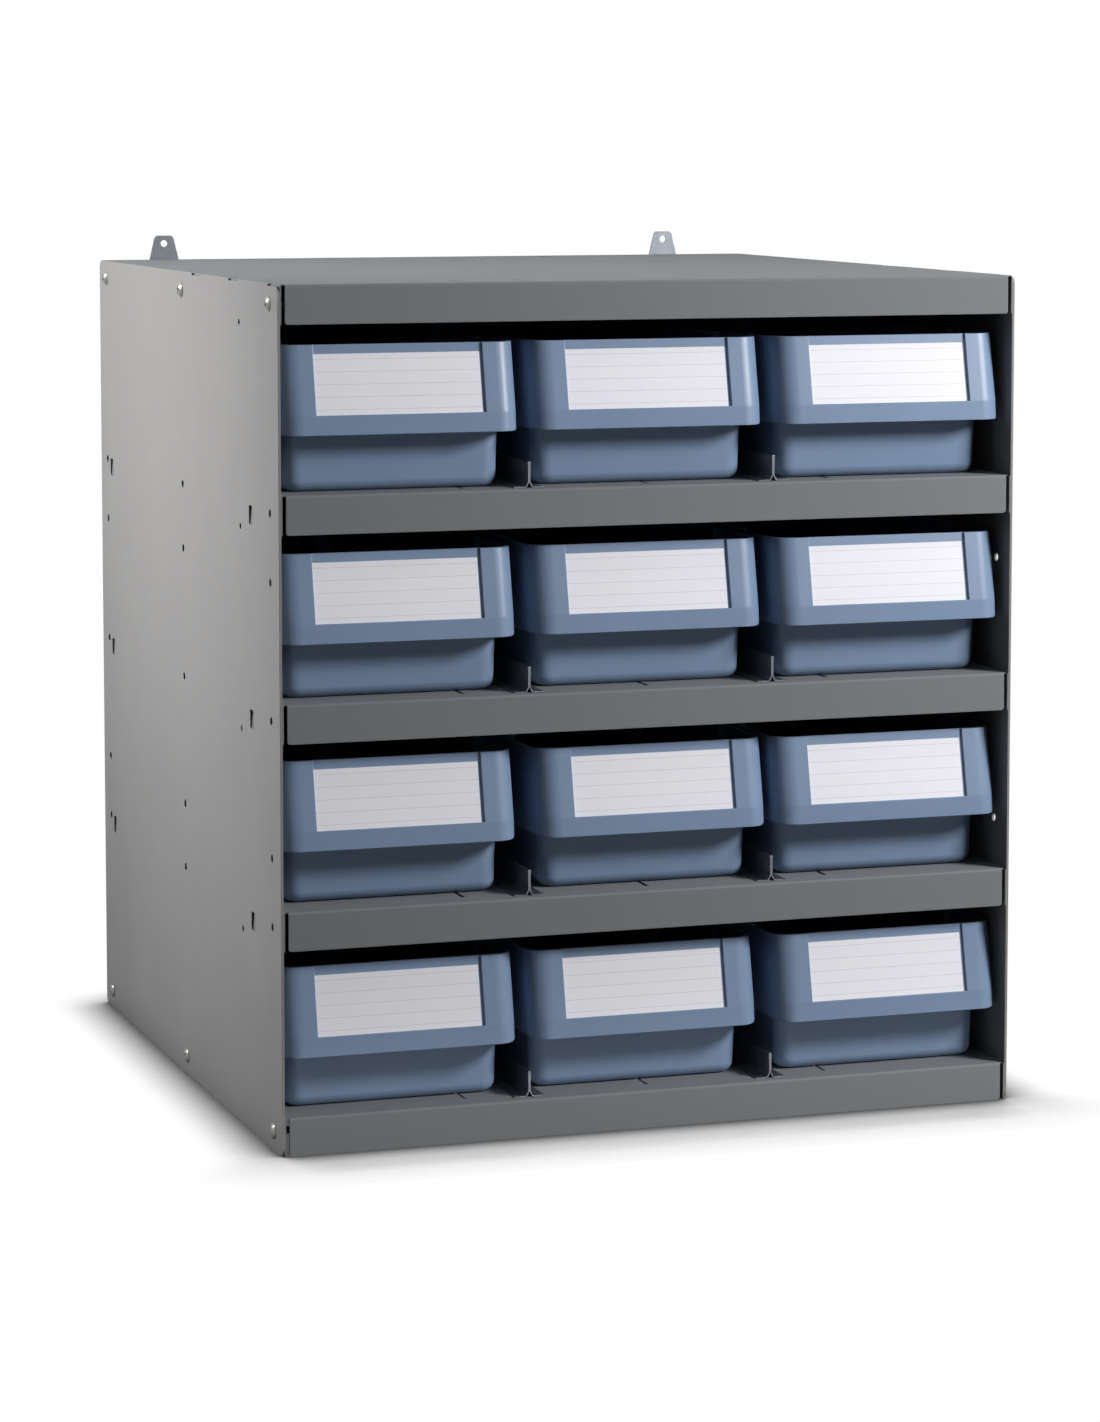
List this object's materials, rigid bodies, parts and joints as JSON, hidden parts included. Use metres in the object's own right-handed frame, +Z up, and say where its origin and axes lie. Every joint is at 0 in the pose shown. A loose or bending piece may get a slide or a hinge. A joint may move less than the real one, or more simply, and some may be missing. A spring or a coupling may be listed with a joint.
{
  "type": "parts bin cabinet",
  "caption": "Folded sheet-steel cabinet with four open bays, each holding three sliding plastic bins with sloped label fronts and finger hoods, and hanging plates at the back.",
  "frame": {"origin": "middle of the cabinet's footprint, at the height of the surface that it stands on", "axes": "+X to the right, -Y the front where the bins pull out, +Z up"},
  "size_m": [0.6066, 0.6068, 0.681],
  "materials": {
    "side_paint": "satin warm grey powder coat",
    "tray_paint": "satin grey powder coat",
    "zinc_sheet": "spangled zinc plate",
    "bright_zinc": "bright zinc-plated fasteners",
    "bin_plastic": "moulded blue-grey polypropylene, fine satin texture",
    "card": "uncoated white card with faint ruled lines"
  },
  "bodies": {
    "root": {"side_panel_left": "side_paint", "side_panel_right": "side_paint", "top_tray": "tray_paint", "shelf_upper": "tray_paint", "shelf_middle": "tray_paint", "shelf_lower": "tray_paint", "bottom_tray": "tray_paint", "back_panel": "tray_paint", "wall_bracket_left": "zinc_sheet", "wall_bracket_right": "zinc_sheet", "bracket_screws": "bright_zinc", "bracket_nuts": "bright_zinc", "side_screws_left": "bright_zinc", "side_screws_right": "bright_zinc", "side_nuts_left": "bright_zinc", "side_nuts_right": "bright_zinc", "back_rivets": "bright_zinc", "divider_bottom_left": "zinc_sheet", "divider_bottom_right": "zinc_sheet", "divider_lower_left": "zinc_sheet", "divider_lower_right": "zinc_sheet", "divider_upper_left": "zinc_sheet", "divider_upper_right": "zinc_sheet", "divider_top_left": "zinc_sheet", "divider_top_right": "zinc_sheet"},
    "bottom_left_bin": {"bin_bottom_left": "bin_plastic", "label_card_bottom_left": "card"},
    "bottom_middle_bin": {"bin_bottom_middle": "bin_plastic", "label_card_bottom_middle": "card"},
    "bottom_right_bin": {"bin_bottom_right": "bin_plastic", "label_card_bottom_right": "card"},
    "lower_left_bin": {"bin_lower_left": "bin_plastic", "label_card_lower_left": "card"},
    "lower_middle_bin": {"bin_lower_middle": "bin_plastic", "label_card_lower_middle": "card"},
    "lower_right_bin": {"bin_lower_right": "bin_plastic", "label_card_lower_right": "card"},
    "upper_left_bin": {"bin_upper_left": "bin_plastic", "label_card_upper_left": "card"},
    "upper_middle_bin": {"bin_upper_middle": "bin_plastic", "label_card_upper_middle": "card"},
    "upper_right_bin": {"bin_upper_right": "bin_plastic", "label_card_upper_right": "card"},
    "top_left_bin": {"bin_top_left": "bin_plastic", "label_card_top_left": "card"},
    "top_middle_bin": {"bin_top_middle": "bin_plastic", "label_card_top_middle": "card"},
    "top_right_bin": {"bin_top_right": "bin_plastic", "label_card_top_right": "card"}
  },
  "joints": [
    {"name": "bottom_left_bin_slide", "type": "slide", "parent": "root", "child": "bottom_left_bin", "axis": [0, -1, 0], "range_m": [-0.0055, 0.4345]},
    {"name": "bottom_middle_bin_slide", "type": "slide", "parent": "root", "child": "bottom_middle_bin", "axis": [0, -1, 0], "range_m": [-0.0025, 0.4375]},
    {"name": "bottom_right_bin_slide", "type": "slide", "parent": "root", "child": "bottom_right_bin", "axis": [0, -1, 0], "range_m": [-0.006, 0.434]},
    {"name": "lower_left_bin_slide", "type": "slide", "parent": "root", "child": "lower_left_bin", "axis": [0, -1, 0], "range_m": [-0.003, 0.437]},
    {"name": "lower_middle_bin_slide", "type": "slide", "parent": "root", "child": "lower_middle_bin", "axis": [0, -1, 0], "range_m": [-0.0035, 0.4365]},
    {"name": "lower_right_bin_slide", "type": "slide", "parent": "root", "child": "lower_right_bin", "axis": [0, -1, 0], "range_m": [-0.0065, 0.4335]},
    {"name": "upper_left_bin_slide", "type": "slide", "parent": "root", "child": "upper_left_bin", "axis": [0, -1, 0], "range_m": [-0.005, 0.435]},
    {"name": "upper_middle_bin_slide", "type": "slide", "parent": "root", "child": "upper_middle_bin", "axis": [0, -1, 0], "range_m": [-0.002, 0.438]},
    {"name": "upper_right_bin_slide", "type": "slide", "parent": "root", "child": "upper_right_bin", "axis": [0, -1, 0], "range_m": [-0.0095, 0.4305]},
    {"name": "top_left_bin_slide", "type": "slide", "parent": "root", "child": "top_left_bin", "axis": [0, -1, 0], "range_m": [-0.0105, 0.4295]},
    {"name": "top_middle_bin_slide", "type": "slide", "parent": "root", "child": "top_middle_bin", "axis": [0, -1, 0], "range_m": [-0.006, 0.434]},
    {"name": "top_right_bin_slide", "type": "slide", "parent": "root", "child": "top_right_bin", "axis": [0, -1, 0], "range_m": [-0.0095, 0.4305]}
  ]
}
